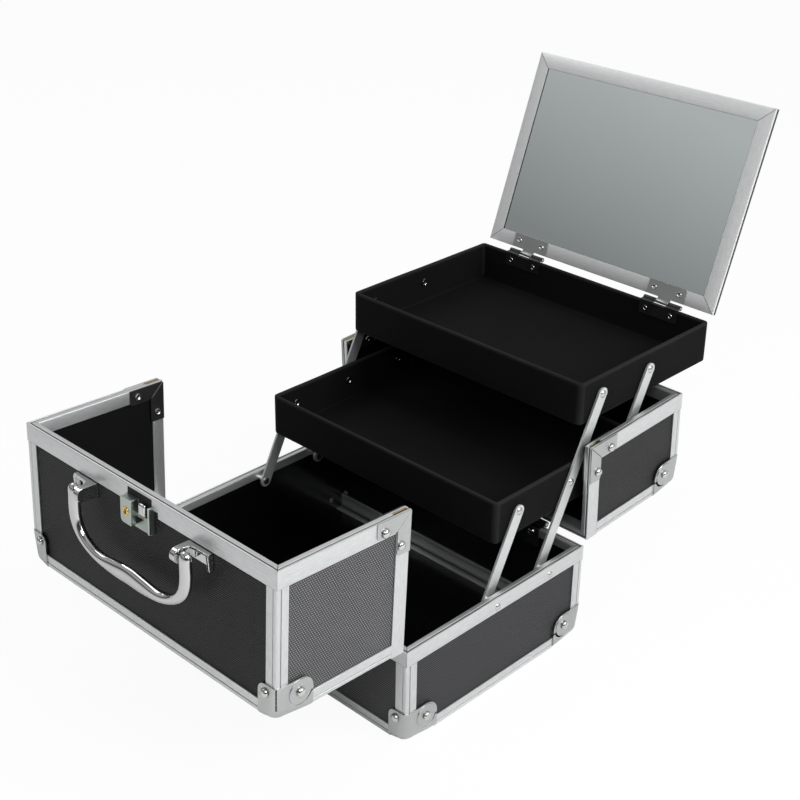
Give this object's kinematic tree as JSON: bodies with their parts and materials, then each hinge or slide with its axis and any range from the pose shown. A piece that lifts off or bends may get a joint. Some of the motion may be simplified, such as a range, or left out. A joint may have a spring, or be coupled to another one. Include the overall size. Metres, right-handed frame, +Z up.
{
  "type": "makeup organizer case",
  "caption": "Makeup organizer case standing open: black panels in an aluminium edge frame, split hinged lids, cantilever trays on swing arms, a framed mirror, bail handle and keyed lock.",
  "frame": {"origin": "middle of the open case's outline seen from above, on the surface it stands on", "axes": "+X to the right of someone facing the handle, +Y from the handle to the mirror, +Z up"},
  "size_m": [0.2454, 0.5052, 0.3359],
  "materials": {
    "panel": "black moulded sheet with a fine raised diamond grain",
    "lining": "short black flock",
    "trim": "satin anodised extrusion",
    "hardware": "nickel plate, lightly brushed",
    "chrome": "polished plate",
    "arm": "zinc plate",
    "tray": "black board with a short flock",
    "mirror_frame": "satin anodised channel",
    "mirror": "silvered",
    "backing": "black board",
    "brass": "turned"
  },
  "bodies": {
    "base": {"base_bottom_panel": "panel", "base_front_panel": "panel", "base_rear_panel": "panel", "base_side_panels": "panel", "base_lining": "lining", "base_rim_trims": "trim", "base_corner_posts": "trim", "base_bottom_trims": "trim", "base_ball_corners": "hardware", "base_rivets": "hardware", "base_hinge_leaves": "hardware", "lid_hinge_pins": "hardware", "arm_pivots": "hardware"},
    "front_lid": {"front_lid_top_panel": "panel", "front_lid_front_panel": "panel", "front_lid_side_panels": "panel", "front_lid_lining": "lining", "front_lid_rim_trims": "trim", "front_lid_edge_trims": "trim", "front_lid_ball_corners": "hardware", "front_lid_corner_brackets": "hardware", "front_lid_rivets": "hardware", "front_lid_hinge_leaves": "hardware", "handle_saddles": "hardware", "handle_pins": "hardware", "lock_housing": "hardware"},
    "rear_lid": {"rear_lid_top_panel": "panel", "rear_lid_rear_panel": "panel", "rear_lid_side_panels": "panel", "rear_lid_lining": "lining", "rear_lid_rim_trims": "trim", "rear_lid_edge_trims": "trim", "rear_lid_ball_corners": "hardware", "rear_lid_corner_brackets": "hardware", "rear_lid_rivets": "hardware", "rear_lid_hinge_leaves": "hardware", "hasp_base": "hardware", "hasp_pin": "hardware"},
    "bail": {"handle": "chrome"},
    "key": {"key_cylinder": "brass"},
    "pawl": {"latch_pawl": "chrome"},
    "hasp_strap": {"hasp": "hardware"},
    "long_arm_pair": {"long_arms": "arm"},
    "front_arm_pair": {"front_arms": "arm"},
    "rear_arm_pair": {"rear_arms": "arm"},
    "tray_low": {"lower_tray": "tray", "lower_tray_pivots": "hardware"},
    "tray_high": {"upper_tray": "tray", "upper_tray_pivots": "hardware", "tray_hinge_leaves": "hardware", "tray_hinge_screws": "hardware", "mirror_hinge_pins": "hardware"},
    "mirror": {"mirror_frame": "mirror_frame", "mirror_glass": "mirror", "mirror_backing": "backing", "mirror_hinge_leaves": "hardware", "mirror_screws": "hardware"}
  },
  "joints": [
    {"name": "front_lid_fold", "type": "hinge", "parent": "base", "child": "front_lid", "pos_m": [0, -0.13564, 0.0723], "axis": [-1, 0, 0], "range_deg": [0, 87.5]},
    {"name": "rear_lid_fold", "type": "hinge", "parent": "base", "child": "rear_lid", "pos_m": [0, 0.04496, 0.0723], "axis": [1, 0, 0], "range_deg": [0, 87.5]},
    {"name": "tray_fold", "type": "hinge", "parent": "base", "child": "long_arm_pair", "pos_m": [0, 0.00635, 0.0648], "axis": [1, 0, 0], "range_deg": [0, 84]},
    {"name": "front_arm_fold", "type": "hinge", "parent": "base", "child": "front_arm_pair", "pos_m": [0, -0.04714, 0.0648], "axis": [1, 0, 0], "range_deg": [0, 84]},
    {"name": "lower_tray_level", "type": "hinge", "parent": "long_arm_pair", "child": "tray_low", "pos_m": [0, 0.03503, 0.12156], "axis": [1, 0, 0], "range_deg": [-84, 0]},
    {"name": "upper_tray_level", "type": "hinge", "parent": "long_arm_pair", "child": "tray_high", "pos_m": [0, 0.0637, 0.17833], "axis": [1, 0, 0], "range_deg": [-84, 0]},
    {"name": "rear_arm_fold", "type": "hinge", "parent": "tray_low", "child": "rear_arm_pair", "pos_m": [0, 0.08852, 0.12156], "axis": [1, 0, 0], "range_deg": [0, 84]},
    {"name": "mirror_fold", "type": "hinge", "parent": "tray_high", "child": "mirror", "pos_m": [0, 0.1924, 0.19173], "axis": [1, 0, 0], "range_deg": [0, 110.6]},
    {"name": "handle_swing", "type": "hinge", "parent": "front_lid", "child": "bail", "pos_m": [0, -0.24616, 0.16138], "axis": [-1, 0, 0], "range_deg": [0, 95]},
    {"name": "key_turn", "type": "hinge", "parent": "front_lid", "child": "key", "pos_m": [-0.008, -0.23805, 0.16613], "axis": [0, -0.999, 0.0436], "range_deg": [0, 90]},
    {"name": "pawl_slide", "type": "slide", "parent": "front_lid", "child": "pawl", "axis": [1, 0, 0], "range_m": [0, 0.003], "stiffness_N_per_m": 150},
    {"name": "hasp_swing", "type": "hinge", "parent": "rear_lid", "child": "hasp_strap", "pos_m": [0, 0.14876, 0.14092], "axis": [1, 0, 0], "range_deg": [0, 115]}
  ],
  "couplings": [
    {"joint": "front_arm_fold", "follows": "tray_fold", "ratio": 1},
    {"joint": "lower_tray_level", "follows": "tray_fold", "ratio": -1},
    {"joint": "upper_tray_level", "follows": "tray_fold", "ratio": -1},
    {"joint": "rear_arm_fold", "follows": "tray_fold", "ratio": 1},
    {"joint": "rear_lid_fold", "follows": "tray_fold", "ratio": 0.38}
  ]
}
